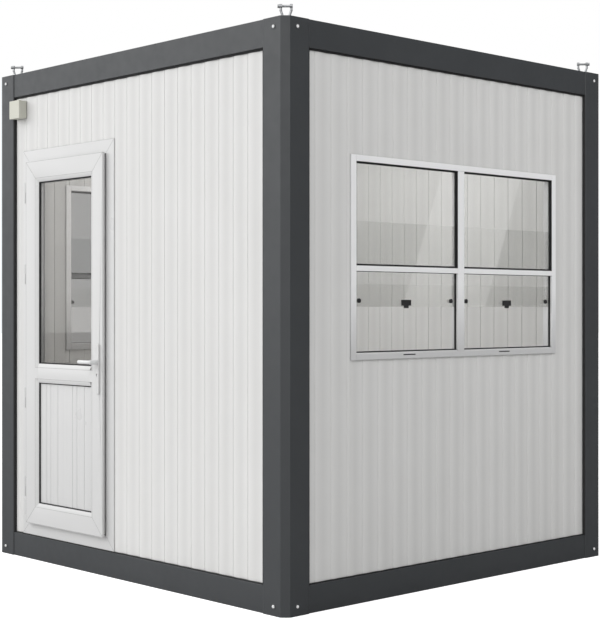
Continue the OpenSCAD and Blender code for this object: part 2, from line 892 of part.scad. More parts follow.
module lifting_eye() {
    pin_z = eye_h - lug_d / 2;
    top_x = (eye_w - lug_w) / 2;
    foot_x = (eye_foot_d - eye_bar_d) / 2 - eye_foot_rim;
    shoulder_z = pin_z - lug_d;
    cylinder(h = eye_foot_h, d = eye_foot_d, $fn = round_fn);
    for (side = [-1, 1]) {
        eye_bar([side * foot_x, eye_foot_h / 2], [side * top_x, shoulder_z]);
        translate([side * top_x, 0, shoulder_z]) sphere(d = eye_bar_d + shoulder_swell, $fn = round_fn);
        eye_bar([side * top_x, shoulder_z], [side * top_x, pin_z]);
        translate([side * top_x - lug_w / 2, 0, pin_z]) rotate([0, 90, 0])
            cylinder(h = lug_w, d = lug_d, $fn = round_fn);
    }
    translate([-eye_w / 2, 0, pin_z]) rotate([0, 90, 0])
        cylinder(h = eye_w, d = eye_bar_d, $fn = round_fn);
    translate([-eye_w / 2 - pin_head_w, 0, pin_z]) rotate([0, 90, 0])
        cylinder(h = pin_head_w, d = pin_head_d, $fn = round_fn);
}

// The eyes all face the front left corner's diagonal; the pins' heads point outward
module eye_on_post(sx, sy, head_turn) {
    inset = booth_w / 2 - post_w / 2;
    color(ZINC_GREY) translate([sx * inset, sy * inset, booth_h]) rotate([0, 0, head_turn]) lifting_eye();
}

module front_lifting_eyes() {
    eye_on_post(-1, -1, -45);
    eye_on_post(1, -1, 135);
}

module back_lifting_eyes() {
    eye_on_post(-1, 1, -45);
    eye_on_post(1, 1, 135);
}

// Junction box on the door wall, in the corner under the top rail, with a lid line round it
module junction_box() {
    lid_d = box_d / 4;
    lid_step = 1.5;
    color(BOX_CREAM) on_side(LEFT)
        translate([-clear_w / 2 + box_gap, wall_recess - box_d, room_z1 - box_drop - box_w]) {
            block([lid_step, lid_d, lid_step], [box_w - lid_step, box_d, box_w - lid_step]);
            block([0, 0, 0], [box_w, lid_d, box_w]);
        }
}

post(FRONT);  // post_front_left
post(RIGHT);  // post_front_right
post(BACK);  // post_back_right
post(LEFT);  // post_back_left
top_rail(FRONT);  // front_top_rail
top_rail(RIGHT);  // right_top_rail
top_rail(BACK);  // back_top_rail
top_rail(LEFT);  // left_top_rail
bottom_rail(FRONT);  // front_bottom_rail
bottom_rail(RIGHT);  // right_bottom_rail
bottom_rail(BACK);  // back_bottom_rail
bottom_rail(LEFT);  // left_bottom_rail
floor_joists();
floor_deck();
ceiling_panel();
roof_sheet();
corner_covers();
wall_sides(FRONT);  // front_wall_sides
wall_below_window(FRONT);  // front_wall_below_window
wall_above_window(FRONT);  // front_wall_above_window
wall_sides(BACK);  // back_wall_sides
wall_below_window(BACK);  // back_wall_below_window
wall_above_window(BACK);  // back_wall_above_window
door_wall_hinge_side();
door_wall_lock_side();
door_wall_over_door();
right_wall();
window_uprights(FRONT);  // front_window_uprights
window_crossbars(FRONT);  // front_window_crossbars
window_uprights(BACK);  // back_window_uprights
window_crossbars(BACK);  // back_window_crossbars
fixed_panes();
sliding_panes();
sash_catches();
door_frame_jambs();
door_frame_crosspieces();
door_stiles();
door_rails();
door_glass();
door_lower_panel();
frame_hinges();
door_hinges();
handle_plates();
door_handle();
front_lifting_eyes();
back_lifting_eyes();
junction_box();
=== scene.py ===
# %% [markdown]
# # A guard booth, dressed step by step
# The booth is a square cabin: a bolted steel frame, ribbed white walls, a glazed door and
# serving windows. Its solids come ready made and stay where they are. This lesson adds what
# a solid lacks: edges that catch the light, finishes, rubber seals, bolts and screws.

# %% Load the solids
import json
import math

import bmesh
import bpy
from mathutils import Matrix, Vector


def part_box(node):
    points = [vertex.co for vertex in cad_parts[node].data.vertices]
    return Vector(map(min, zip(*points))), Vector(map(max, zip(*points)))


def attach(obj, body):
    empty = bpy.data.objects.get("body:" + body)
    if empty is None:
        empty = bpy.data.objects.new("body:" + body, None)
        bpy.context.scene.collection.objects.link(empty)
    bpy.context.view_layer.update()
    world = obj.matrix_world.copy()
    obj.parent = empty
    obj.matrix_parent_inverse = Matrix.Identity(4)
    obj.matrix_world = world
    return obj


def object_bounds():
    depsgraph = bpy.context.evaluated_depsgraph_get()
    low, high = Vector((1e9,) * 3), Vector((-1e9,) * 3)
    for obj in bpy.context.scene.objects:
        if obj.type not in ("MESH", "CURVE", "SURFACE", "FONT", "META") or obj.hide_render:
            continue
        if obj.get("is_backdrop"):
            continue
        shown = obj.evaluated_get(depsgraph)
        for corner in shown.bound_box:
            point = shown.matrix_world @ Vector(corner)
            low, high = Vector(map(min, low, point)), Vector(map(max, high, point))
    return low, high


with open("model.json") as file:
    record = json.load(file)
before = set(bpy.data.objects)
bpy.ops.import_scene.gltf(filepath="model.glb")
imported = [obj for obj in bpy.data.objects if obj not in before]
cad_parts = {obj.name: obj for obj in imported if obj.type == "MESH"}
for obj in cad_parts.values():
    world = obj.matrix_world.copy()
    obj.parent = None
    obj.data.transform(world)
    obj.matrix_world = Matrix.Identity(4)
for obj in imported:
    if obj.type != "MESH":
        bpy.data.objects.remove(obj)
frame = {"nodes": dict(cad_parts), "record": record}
nodes = frame["nodes"]
scene = bpy.context.scene
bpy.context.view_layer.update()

# %% [markdown]
# ## Where the picture is taken from
# The picture shows the booth with its verticals upright, so the camera looks level and a small
# shift does the framing. The long lens stands about six metres off the near corner, a little
# higher than the window's sill. A level camera is one turn about the vertical after tipping it
# up from its rest, in which a Blender camera looks straight down.

# %% Camera
EYE = (-5.299, -5.682, 1.336)
HEADING = math.radians(-43.071)
LENS_MM = 83.01
SENSOR_MM = 36.0
SHIFT_UP = -0.00134

camera_data = bpy.data.cameras.new("picture_camera")
camera_data.lens = LENS_MM
camera_data.sensor_width = SENSOR_MM
camera_data.shift_y = SHIFT_UP
camera = bpy.data.objects.new("picture_camera", camera_data)
camera.location = EYE
camera.rotation_euler = (math.pi / 2, 0, HEADING)
scene.collection.objects.link(camera)
scene.camera = camera
print("camera heading:", round(math.degrees(HEADING), 2), "degrees")

# %% [markdown]
# ## Floor and sky
# A pale floor that runs far back, and a sky that is white to the camera, give an even white
# ground. The door side of the booth is brighter than the window side, so the sky that lights it
# is brighter at the left and falls off smoothly to the right. Seen through glass, the sky is only
# one part in five white, so that the far window doesn't glare. Standard colours keep whites white.

# %% Floor
FLOOR_HALF = 60.0

scene.view_settings.view_transform = "Standard"
floor_mesh = bpy.data.meshes.new("studio_floor")
floor_mesh.from_pydata(
    [(x * FLOOR_HALF, y * FLOOR_HALF, 0) for x, y in ((-1, -1), (1, -1), (1, 1), (-1, 1))],
    [],
    [(0, 1, 2, 3)],
)
studio_floor = bpy.data.objects.new("studio_floor", floor_mesh)
scene.collection.objects.link(studio_floor)
studio_floor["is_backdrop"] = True
print("floor:", 2 * FLOOR_HALF, "m square")

# %% Two skies, one to light and one to see
WHITE = (1, 1, 1, 1)

world = bpy.data.worlds.new("studio_sky")
world.use_nodes = True
scene.world = world
sky = world.node_tree
soft = sky.nodes["Background"]
soft.inputs["Color"].default_value = WHITE
white = sky.nodes.new("ShaderNodeBackground")
white.inputs["Color"].default_value = WHITE
either = sky.nodes.new("ShaderNodeMixShader")
sky.links.new(soft.outputs["Background"], either.inputs[1])
sky.links.new(white.outputs["Background"], either.inputs[2])
sky.links.new(either.outputs["Shader"], sky.nodes["World Output"].inputs["Surface"])
print("skies:", soft.name, white.name)

# %% Brighter at the left
SKY_BRIGHT_SIDE = Vector((-0.88, 0.38, 0.3)).normalized()
SKY_DIM = 0.17
SKY_BRIGHT = 1.6
SKY_FALL = 2.0

direction = sky.nodes.new("ShaderNodeTexCoord")
toward = sky.nodes.new("ShaderNodeVectorMath")
toward.operation = "DOT_PRODUCT"
toward.inputs[1].default_value = SKY_BRIGHT_SIDE
side = sky.nodes.new("ShaderNodeMapRange")
side.inputs["From Min"].default_value = -1
fall = sky.nodes.new("ShaderNodeMath")
fall.operation = "POWER"
fall.inputs[1].default_value = SKY_FALL
spread = sky.nodes.new("ShaderNodeMapRange")
spread.inputs["To Min"].default_value = SKY_DIM
spread.inputs["To Max"].default_value = SKY_BRIGHT
sky.links.new(direction.outputs["Generated"], toward.inputs[0])
sky.links.new(toward.outputs["Value"], side.inputs["Value"])
sky.links.new(side.outputs["Result"], fall.inputs[0])
sky.links.new(fall.outputs["Value"], spread.inputs["Value"])
sky.links.new(spread.outputs["Result"], soft.inputs["Strength"])
print("sky from", SKY_DIM, "to", SKY_BRIGHT)

# %% White to the camera
THROUGH_GLASS = 0.2

seen = sky.nodes.new("ShaderNodeLightPath")
through = sky.nodes.new("ShaderNodeMath")
through.operation = "MULTIPLY_ADD"
through.inputs[1].default_value = THROUGH_GLASS
sky.links.new(seen.outputs["Is Transmission Ray"], through.inputs[0])
sky.links.new(seen.outputs["Is Camera Ray"], through.inputs[2])
sky.links.new(through.outputs["Value"], either.inputs["Fac"])
print("white share through glass:", THROUGH_GLASS)

# %% [markdown]
# ## Lamps
# A large soft lamp stands at the door side. A second one hangs high in front, and its light fades
# towards the foot of the wall. A small one faces the near corner and only gives a sheen, while
# the two large ones are kept out of what the paint mirrors. A flat lamp under the ceiling lights
# the room, because the walls inside show through the glass.


# %% Lamps
def soft_lamp(name, place, aim, size, watts):
    """A large flat lamp at one place, turned towards another."""
    lamp = bpy.data.lights.new(name, "AREA")
    lamp.shape = "RECTANGLE"
    lamp.size, lamp.size_y = size
    lamp.energy = watts
    holder = bpy.data.objects.new(name, lamp)
    holder.location = place
    holder.rotation_euler = (Vector(aim) - Vector(place)).to_track_quat("-Z", "Y").to_euler()
    holder.visible_camera = False
    scene.collection.objects.link(holder)
    return holder


BOOTH_MIDDLE = (0, 0, 1.3)
left_lamp = soft_lamp("left_lamp", place=(-7.6, 9.4, 7.0), aim=BOOTH_MIDDLE, size=(8, 5), watts=490)
left_lamp.visible_glossy = False
front_lamp = soft_lamp("front_lamp", place=(1.5, -6.5, 7.0), aim=(0, -1, 1.6), size=(6, 4), watts=208)
front_lamp.visible_glossy = False
corner_lamp = soft_lamp("corner_lamp", place=(-8.0, -8.6, 4.5), aim=BOOTH_MIDDLE, size=(3, 3), watts=45)
corner_lamp.visible_diffuse = False
room_lamp = soft_lamp("room_lamp", place=(0, 0, 2.44), aim=(0, 0, 0), size=(1.7, 1.7), watts=21.5)
print("lamps:", [lamp.name for lamp in (left_lamp, front_lamp, corner_lamp, room_lamp)])

# %% [markdown]
# ## A streak on the window glass
# A slanted bright band lies across the window panes. It is the reflection of a tall leaning light
# panel, so one stands where the panes mirror it: in front of the window and well to the right. It
# only shows in glossy surfaces and adds nothing to the light on the walls.

# %% Streak lamp
STREAK_PLACE = Vector((5.95, -6.14, 2.05))
STREAK_LEAN = math.radians(22.4)
TOWARDS_BACK = Vector((0, 1, 0))

streak_lamp = soft_lamp(
    "streak_lamp", place=STREAK_PLACE, aim=STREAK_PLACE + TOWARDS_BACK, size=(1.17, 3.7), watts=7.5,
)
upright = streak_lamp.rotation_euler.to_matrix()
streak_lamp.rotation_euler = (Matrix.Rotation(STREAK_LEAN, 3, "Y") @ upright).to_euler()
streak_lamp.visible_diffuse = False
print("streak lamp leans", round(math.degrees(STREAK_LEAN), 1), "degrees")

# %% [markdown]
# ## A small kit for finishes
# Real coatings are never one colour: they have a fine grain and cloudy spots. A painted picture
# could show them, but it would stretch from piece to piece. Noise measured in the booth's own
# metres has the right scale everywhere, so a few helpers make it and turn it into tones, gloss
# and a fine relief.


# %% Noise and tones
def new_finish(name):
    """A new finish with its nodes and its shader."""
    finish = bpy.data.materials.new(name)
    finish.use_nodes = True
    return finish, finish.node_tree, finish.node_tree.nodes["Principled BSDF"]


def noise(tree, scale, detail, stretch=(1, 1, 1)):
    """Noise over the object's own metres, drawn out along an axis where stretch is small."""
    place = tree.nodes.new("ShaderNodeTexCoord")
    drawn = tree.nodes.new("ShaderNodeMapping")
    drawn.inputs["Scale"].default_value = stretch
    grain = tree.nodes.new("ShaderNodeTexNoise")
    grain.inputs["Scale"].default_value = scale
    grain.inputs["Detail"].default_value = detail
    tree.links.new(place.outputs["Object"], drawn.inputs["Vector"])
    tree.links.new(drawn.outputs["Vector"], grain.inputs["Vector"])
    return grain.outputs["Fac"]


def ranged(tree, value, low, high, start=0.3, end=0.7):
    """Spreads a value between start and end over low to high."""
    spread = tree.nodes.new("ShaderNodeMapRange")
    spread.inputs["From Min"].default_value = start
    spread.inputs["From Max"].default_value = end
    spread.inputs["To Min"].default_value = low
    spread.inputs["To Max"].default_value = high
    tree.links.new(value, spread.inputs["Value"])
    return spread.outputs["Result"]


def set_colour(tree, socket, colour):
    """Gives a socket a colour, or the output of other nodes."""
    if isinstance(colour, tuple):
        socket.default_value = (*colour, 1)
    else:
        tree.links.new(colour, socket)


def two_tone(tree, factor, first, second):
    """Goes from the first colour to the second as the factor rises."""
    tones = tree.nodes.new("ShaderNodeMix")
    tones.data_type = "RGBA"
    tree.links.new(factor, tones.inputs[0])
    set_colour(tree, tones.inputs[6], first)
    set_colour(tree, tones.inputs[7], second)
    return tones.outputs[2]


def grainy(tree, shader, height, depth, strength=0.5):
    """Lifts the surface by a height of at most depth metres."""
    relief = tree.nodes.new("ShaderNodeBump")
    relief.inputs["Strength"].default_value = strength
    relief.inputs["Distance"].default_value = depth
    tree.links.new(height, relief.inputs["Height"])
    tree.links.new(relief.outputs["Normal"], shader.inputs["Normal"])


print("kit:", [helper.__name__ for helper in (new_finish, noise, ranged, two_tone, grainy)])

# %% [markdown]
# ## Masks for wear, highlights and painted shade
# Hands and weather rub the edges to another tone, and where that tone is lighter it is also a
# painted highlight. A rounded normal is compared with the true one: they differ only close to an
# edge, and that makes a mask. Painted shade darkens inner corners, which ambient occlusion finds,
# and the low part of the window and the door, which the height tells. The walls' ribs are so
# shallow that soft light hardly shows them, so the last mask rises from each groove to the middle
# of a rib, and a little grey there is painted shade for the ribs.

# %% Edge and corner masks
EDGE_SAMPLES = 4
EDGE_LIKENESS = (0.75, 0.985)
WEAR_AND_HIGHLIGHT_PATCHES = 35
WEAR_AND_HIGHLIGHT_LEAST = 0.15
CORNER_SHADE_SAMPLES = 6
CORNER_SHADE_OPENNESS = (0.3, 0.9)


def wear_and_highlight_mask(tree, radius, most):
    """Rises near edges, broken up by noise: wear from hands and weather, and a painted highlight."""
    rounded = tree.nodes.new("ShaderNodeBevel")
    rounded.samples = EDGE_SAMPLES
    rounded.inputs["Radius"].default_value = radius
    true = tree.nodes.new("ShaderNodeNewGeometry")
    apart = tree.nodes.new("ShaderNodeVectorMath")
    apart.operation = "DOT_PRODUCT"
    tree.links.new(rounded.outputs["Normal"], apart.inputs[0])
    tree.links.new(true.outputs["Normal"], apart.inputs[1])
    edge = ranged(tree, apart.outputs["Value"], most, 0, *EDGE_LIKENESS)
    patchy = tree.nodes.new("ShaderNodeMath")
    patchy.operation = "MULTIPLY"
    tree.links.new(edge, patchy.inputs[0])
    tree.links.new(ranged(tree, noise(tree, WEAR_AND_HIGHLIGHT_PATCHES, 4), WEAR_AND_HIGHLIGHT_LEAST, 1), patchy.inputs[1])
    return patchy.outputs["Value"]


def painted_corner_shade_mask(tree, reach, most):
    """Rises towards inner corners, where light hardly comes: painted shade."""
    closed_in = tree.nodes.new("ShaderNodeAmbientOcclusion")
    closed_in.samples = CORNER_SHADE_SAMPLES
    closed_in.inputs["Distance"].default_value = reach
    return ranged(tree, closed_in.outputs["AO"], most, 0, *CORNER_SHADE_OPENNESS)


print("masks:", wear_and_highlight_mask.__name__, painted_corner_shade_mask.__name__)

# %% Foot and rib masks
RIB_PITCH = 0.1005


def axis_place(tree, axis):
    """How far a point lies along one of the object's own axes."""
    place = tree.nodes.new("ShaderNodeTexCoord")
    split = tree.nodes.new("ShaderNodeSeparateXYZ")
    tree.links.new(place.outputs["Object"], split.inputs["Vector"])
    return split.outputs[axis]


def painted_low_shade_mask(tree, low, high, most):
    """Rises from one height down to a lower one: painted shade, darker towards the bottom."""
    return ranged(tree, axis_place(tree, "Z"), most, 0, low, high)


def painted_rib_shade_mask(tree, axis, groove, most):
    """Rises from the grooves of a ribbed panel to the middle of its ribs, for painted rib shade."""
    shifted = tree.nodes.new("ShaderNodeMath")
    shifted.operation = "SUBTRACT"
    shifted.inputs[1].default_value = groove
    folded = tree.nodes.new("ShaderNodeMath")
    folded.operation = "PINGPONG"
    folded.inputs[1].default_value = RIB_PITCH / 2
    tree.links.new(axis_place(tree, axis), shifted.inputs[0])
    tree.links.new(shifted.outputs["Value"], folded.inputs[0])
    return ranged(tree, folded.outputs["Value"], 0, most, 0, RIB_PITCH / 2)


print("masks:", painted_low_shade_mask.__name__, painted_rib_shade_mask.__name__, "for ribs", RIB_PITCH, "m apart")

# %% [markdown]
# ## Paint, sheet and plastic
# The frame has a satin anthracite paint, the walls a white coil coating, the windows a cool white
# powder coating and the door a smooth white plastic. All four are one recipe with other tones,
# gloss and grain, so one function makes them. The junction box is a matt cream plastic and the
# lever a white enamel.

# %% One recipe for coatings
# The grey that painted shade mixes in.
PAINTED_SHADE_GREY = (0.16, 0.16, 0.155)
WEAR_AND_HIGHLIGHT_MOST = 0.6
PEEL_SCALE = 450


def coated(
    name, dark, light, rough, peel, cloud=5.0,
    wear_and_highlight=None, wear_and_highlight_radius=0.003, corner_shade=None, foot=None, ribs=None,
):
    """A coating with cloudy tone, patchy gloss and an orange-peel skin; if asked, edges for wear and
    painted highlight, and painted shade on ribs, in corners and low down.
    """
    finish, tree, shader = new_finish(name)
    tone = two_tone(tree, ranged(tree, noise(tree, cloud, 5), 0, 1), dark, light)
    # Painted shade: a little grey along the middle of each rib.
    if ribs:
        tone = two_tone(tree, painted_rib_shade_mask(tree, *ribs), tone, PAINTED_SHADE_GREY)
    # Painted shade in inner corners, found by ambient occlusion.
    if corner_shade:
        tone = two_tone(tree, painted_corner_shade_mask(tree, *corner_shade), tone, PAINTED_SHADE_GREY)
    # Painted shade, darker towards the bottom.
    if foot:
        tone = two_tone(tree, painted_low_shade_mask(tree, *foot), tone, PAINTED_SHADE_GREY)
    # Edge tone for wear and for painted highlights.
    if wear_and_highlight:
        tone = two_tone(tree, wear_and_highlight_mask(tree, wear_and_highlight_radius, WEAR_AND_HIGHLIGHT_MOST), tone, wear_and_highlight)
    tree.links.new(tone, shader.inputs["Base Color"])
    tree.links.new(ranged(tree, noise(tree, cloud * 4, 4), *rough), shader.inputs["Roughness"])
    grainy(tree, shader, noise(tree, PEEL_SCALE, 2), peel)
    return finish


# Lighter edges: wear and painted highlight.
frame_paint = coated(
    "satin_anthracite_paint",
    dark=(0.035, 0.0390, 0.0430), light=(0.040, 0.0440, 0.0485), rough=(0.42, 0.52), peel=0.0002,
    wear_and_highlight=(0.20, 0.21, 0.22),
)
frame_paint.node_tree.nodes["Principled BSDF"].inputs["Specular IOR Level"].default_value = 0.8
print("first coating:", frame_paint.name)

# %% Walls
# Painted shade in the walls' inner corners and grooves, stronger on the door and right walls; lighter
# edges beside the grooves are painted highlights.
WALL_CORNER_SHADE_REACH = 0.012
PLAIN_CORNER_SHADE = 0.5
RIB_PAINTED_SHADE = 0.09
GROOVE_PLACES = {"front": ("X", 0.037), "back": ("X", -0.037), "right": ("Y", 0.037), "door": ("Y", 0.007)}
GROOVE_CORNER_SHADE = {"front": 0.35, "back": 0.35, "right": 0.65, "door": 0.65}


def wall_coated(name, corner_shade, ribs=None):
    """The walls' white; on a ribbed wall a little greyer along the middle of each rib, as painted shade.
    """
    return coated(
        name,
        dark=(0.725, 0.722, 0.712), light=(0.745, 0.742, 0.733), rough=(0.45, 0.58), peel=0.00008,
        cloud=2.5, wear_and_highlight=(0.87, 0.87, 0.86), wear_and_highlight_radius=0.002, corner_shade=(WALL_CORNER_SHADE_REACH, corner_shade), ribs=ribs,
    )


wall_coating = wall_coated("white_coil_coating", PLAIN_CORNER_SHADE)
# Ribbed walls carry painted rib shade.
rib_shaded_coatings = {
    f"{wall}_wall": wall_coated(f"{wall}_rib_shaded_coating", GROOVE_CORNER_SHADE[wall], (*groove, RIB_PAINTED_SHADE))
    for wall, groove in GROOVE_PLACES.items()
}
print("wall coatings:", wall_coating.name, [coating.name for coating in rib_shaded_coatings.values()])

# %% Windows, door, box and lever
# Painted shade: the window darkens towards its sill and the door towards its foot.
SILL_PAINTED_SHADE = (1.12, 1.45, 0.4)
DOOR_FOOT_PAINTED_SHADE = (0.2, 1.0, 0.10)

# Lighter edges on the window and the door are painted highlights.
window_coating = coated(
    "cool_white_powder_coating",
    dark=(0.905, 0.907, 0.915), light=(0.925, 0.927, 0.935), rough=(0.34, 0.46), peel=0.00012,
    wear_and_highlight=(0.94, 0.94, 0.95), wear_and_highlight_radius=0.002, corner_shade=(0.008, 0.6), foot=SILL_PAINTED_SHADE,
)
door_plastic = coated(
    "white_door_plastic",
    dark=(0.675, 0.675, 0.673), light=(0.695, 0.695, 0.693), rough=(0.27, 0.36), peel=0.00012, cloud=1.5,
    wear_and_highlight=(0.86, 0.86, 0.86), wear_and_highlight_radius=0.0018, corner_shade=(0.012, 0.25), foot=DOOR_FOOT_PAINTED_SHADE,
)
box_plastic = coated(
    "cream_box_plastic",
    dark=(0.58, 0.58, 0.505), light=(0.61, 0.61, 0.535), rough=(0.42, 0.55), peel=0.00012,
)
lever_enamel = coated(
    "white_lever_enamel",
    dark=(0.74, 0.745, 0.75), light=(0.78, 0.785, 0.79), rough=(0.18, 0.30), peel=0.00004, cloud=20,
    wear_and_highlight=(0.55, 0.55, 0.56),
)
print("coatings:", [m.name for m in (window_coating, door_plastic, box_plastic, lever_enamel)])

# %% [markdown]
# ## Rubber, black plastic, zinc and board
# Seals are dull black rubber with a fine grain; the sash catches are a harder black plastic.
# The lifting eyes and the roof are zinc: its crystals show as flat patches of other greys, which
# a cell pattern gives. The floor is a grey faced board with a faint grain along its length.

# %% Dark finishes
black_rubber = coated(
    "black_seal_rubber",
    dark=(0.010, 0.010, 0.011), light=(0.018, 0.018, 0.019), rough=(0.55, 0.75), peel=0.0002, cloud=30,
)
black_plastic = coated(
    "black_catch_plastic",
    dark=(0.012, 0.012, 0.013), light=(0.020, 0.020, 0.021), rough=(0.30, 0.42), peel=0.0001, cloud=30,
)
print("dark finishes:", black_rubber.name, black_plastic.name)

# %% Zinc
ZINC_GRAIN = 300
ZINC_RELIEF = 0.0001


def zinc(name, cells, dark, light, rough):
    """A zinc skin whose crystals differ in tone and gloss."""
    finish, tree, shader = new_finish(name)
    place = tree.nodes.new("ShaderNodeTexCoord")
    crystals = tree.nodes.new("ShaderNodeTexVoronoi")
    crystals.inputs["Scale"].default_value = cells
    split = tree.nodes.new("ShaderNodeSeparateColor")
    tree.links.new(place.outputs["Object"], crystals.inputs["Vector"])
    tree.links.new(crystals.outputs["Color"], split.inputs["Color"])
    tree.links.new(two_tone(tree, split.outputs["Red"], dark, light), shader.inputs["Base Color"])
    tree.links.new(ranged(tree, split.outputs["Green"], *rough, 0, 1), shader.inputs["Roughness"])
    grainy(tree, shader, noise(tree, ZINC_GRAIN, 3), ZINC_RELIEF)
    shader.inputs["Metallic"].default_value = 0.85
    return finish


eye_zinc = zinc(
    "dipped_zinc", cells=160, dark=(0.42, 0.43, 0.44), light=(0.62, 0.63, 0.64), rough=(0.30, 0.48),
)
roof_zinc = zinc(
    "zinc_roof_sheet", cells=45, dark=(0.46, 0.47, 0.48), light=(0.58, 0.59, 0.60), rough=(0.34, 0.50),
)
print("zinc:", eye_zinc.name, roof_zinc.name)

# %% Board
BOARD_DARK = (0.46, 0.448, 0.42)
BOARD_LIGHT = (0.56, 0.549, 0.515)
BOARD_ROUGH = (0.45, 0.65)
BOARD_RELIEF = 0.0003

floor_board, board_tree, board_shader = new_finish("grey_faced_board")
board_grain = noise(board_tree, scale=14, detail=6, stretch=(1, 0.08, 1))
board_tone = two_tone(board_tree, ranged(board_tree, board_grain, 0, 1), BOARD_DARK, BOARD_LIGHT)
board_tree.links.new(board_tone, board_shader.inputs["Base Color"])
board_tree.links.new(ranged(board_tree, board_grain, *BOARD_ROUGH), board_shader.inputs["Roughness"])
grainy(board_tree, board_shader, board_grain, BOARD_RELIEF)
print("board:", floor_board.name)

# %% [markdown]
# ## Glass
# Window glass is a smooth body that light goes through, so the shader's transmission is full and
# its colour is the tint. The sheets are real solids with two faces, and the windows bend the light
# as real panes do. The door's glass bends it less, which keeps the reflections in its two panes
# faint. The panes at the back are darker, as painted shade that dims the view through them. A
# faint film of dust varies the gloss.

# %% Glass finishes
FILM_SCALE = 6
FILM_DIMS = 0.985
ROOM_MIDDLE = (-0.5, 0.5)


def clear_glass(name, tint, haze, bend=1.5, back_painted_shade_tint=None):
    """Glass of one tint, and a darker one on the far side of the room as painted shade, if asked."""
    finish, tree, shader = new_finish(name)
    shader.inputs["Transmission Weight"].default_value = 1
    shader.inputs["IOR"].default_value = bend
    film = noise(tree, FILM_SCALE, 4)
    colour = two_tone(tree, ranged(tree, film, 0, 1), tint, tuple(c * FILM_DIMS for c in tint))
    # Painted shade: darker glass on the far side of the room.
    if back_painted_shade_tint:
        far = ranged(tree, axis_place(tree, "Y"), 0, 1, *ROOM_MIDDLE)
        colour = two_tone(tree, far, colour, back_painted_shade_tint)
    tree.links.new(colour, shader.inputs["Base Color"])
    tree.links.new(ranged(tree, film, 0.0, haze), shader.inputs["Roughness"])
    return finish


window_glass = clear_glass(
    "window_glass", tint=(0.915, 0.917, 0.908), haze=0.02, back_painted_shade_tint=(0.79, 0.80, 0.805),
)
door_glass = clear_glass("tinted_door_glass", tint=(0.838, 0.832, 0.822), haze=0.02, bend=1.2)
sash_film = clear_glass("sash_foot_film", tint=(0.93, 0.93, 0.92), haze=0.05)
print("glass:", window_glass.name, door_glass.name, sash_film.name)

# %% [markdown]
# ## A white studio floor
# The booth stands in a white studio whose floor can't be told from the back wall. A matt pale
# floor glows a little for the camera, so that it ends up as white as the sky, with only a breath
# of shadow beside the rails. The glow lights nothing, which keeps the lower walls dimmer than the
# upper ones, and the floor is darker where the frame's paint mirrors it, so that the posts fade
# towards their feet.

# %% Floor finish
FLOOR_TONES = ((0.60, 0.60, 0.60), (0.63, 0.63, 0.63))
FLOOR_IN_PAINT = (0.30, 0.30, 0.30)

floor_finish, floor_tree, floor_shader = new_finish("pale_floor")
floor_rays = floor_tree.nodes.new("ShaderNodeLightPath")
floor_tone = two_tone(floor_tree, noise(floor_tree, scale=1, detail=4), *FLOOR_TONES)
floor_tree.links.new(
    two_tone(floor_tree, floor_rays.outputs["Is Glossy Ray"], floor_tone, FLOOR_IN_PAINT),
    floor_shader.inputs["Base Color"],
)
floor_shader.inputs["Roughness"].default_value = 0.9
floor_shader.inputs["Specular IOR Level"].default_value = 0
floor_mesh.materials.append(floor_finish)
print("floor finish:", floor_finish.name)

# %% Floor glow
FLOOR_GLOW = 0.78

floor_shader.inputs["Emission Color"].default_value = WHITE
shown = floor_tree.nodes.new("ShaderNodeMath")
shown.operation = "MULTIPLY_ADD"
shown.inputs[1].default_value = THROUGH_GLASS
glow = floor_tree.nodes.new("ShaderNodeMath")
glow.operation = "MULTIPLY"
glow.inputs[1].default_value = FLOOR_GLOW
floor_tree.links.new(floor_rays.outputs["Is Transmission Ray"], shown.inputs[0])
floor_tree.links.new(floor_rays.outputs["Is Camera Ray"], shown.inputs[2])
floor_tree.links.new(shown.outputs["Value"], glow.inputs[0])
floor_tree.links.new(glow.outputs["Value"], floor_shader.inputs["Emission Strength"])
print("floor glow:", FLOOR_GLOW)

# %% [markdown]
# ## Finishes and edges on the solids
# The record lists which finish each solid wears; ribbed walls and the door's glass have their own.
# A solid's edges are razor sharp, while bent sheet and cut profiles have small rounds that catch
# the light. A bevel on every sharp edge makes them. The imported faces don't share corners, so a
# weld comes first, and weighted normals last keep the flats flat.

# %% Dress the solids
FINISHES = {
    "frame_steel": frame_paint, "wall_panel": wall_coating, "door_plastic": door_plastic,
    "window_frame": window_coating, "glass": window_glass, "black_plastic": black_plastic,
    "handle_metal": lever_enamel, "zinc_steel": eye_zinc, "box_plastic": box_plastic,
    "floor_deck": floor_board, "roof_sheet": roof_zinc,
}
EDGE_ROUNDS = {
    "frame_steel": 0.0016, "wall_panel": 0.0012, "door_plastic": 0.0012, "window_frame": 0.0014,
    "black_plastic": 0.001, "box_plastic": 0.003, "floor_deck": 0.001,
}
SHARP = math.radians(32)
WELD_REACH = 0.00001

for row in frame["record"]["subparts"]:
    solid, kind = nodes[row["node"]], row["material_slot"]
    solid.material_slots[0].material = FINISHES[kind]
    for wall, coating in rib_shaded_coatings.items():
        if row["node"].startswith(wall):
            solid.material_slots[0].material = coating
    if kind in EDGE_ROUNDS:
        weld = solid.modifiers.new("weld", "WELD")
        weld.merge_threshold = WELD_REACH
        bevel = solid.modifiers.new("edge_rounds", "BEVEL")
        bevel.width = EDGE_ROUNDS[kind]
        bevel.segments = 2
        bevel.limit_method = "ANGLE"
        bevel.angle_limit = SHARP
        solid.modifiers.new("flat_flats", "WEIGHTED_NORMAL")
nodes["door_glass"].material_slots[0].material = door_glass

# %% [markdown]
# ## Helpers for the added pieces
# Most added pieces follow a wall, so places are given as a carpenter would: how far along the wall
# seen from outside, how deep from the face of the posts, and how high. Seals are one small section
# swept round a path with mitred corners. Bolts and screws are turned on a lathe. Flat plugs are an
# outline pushed along the depth.

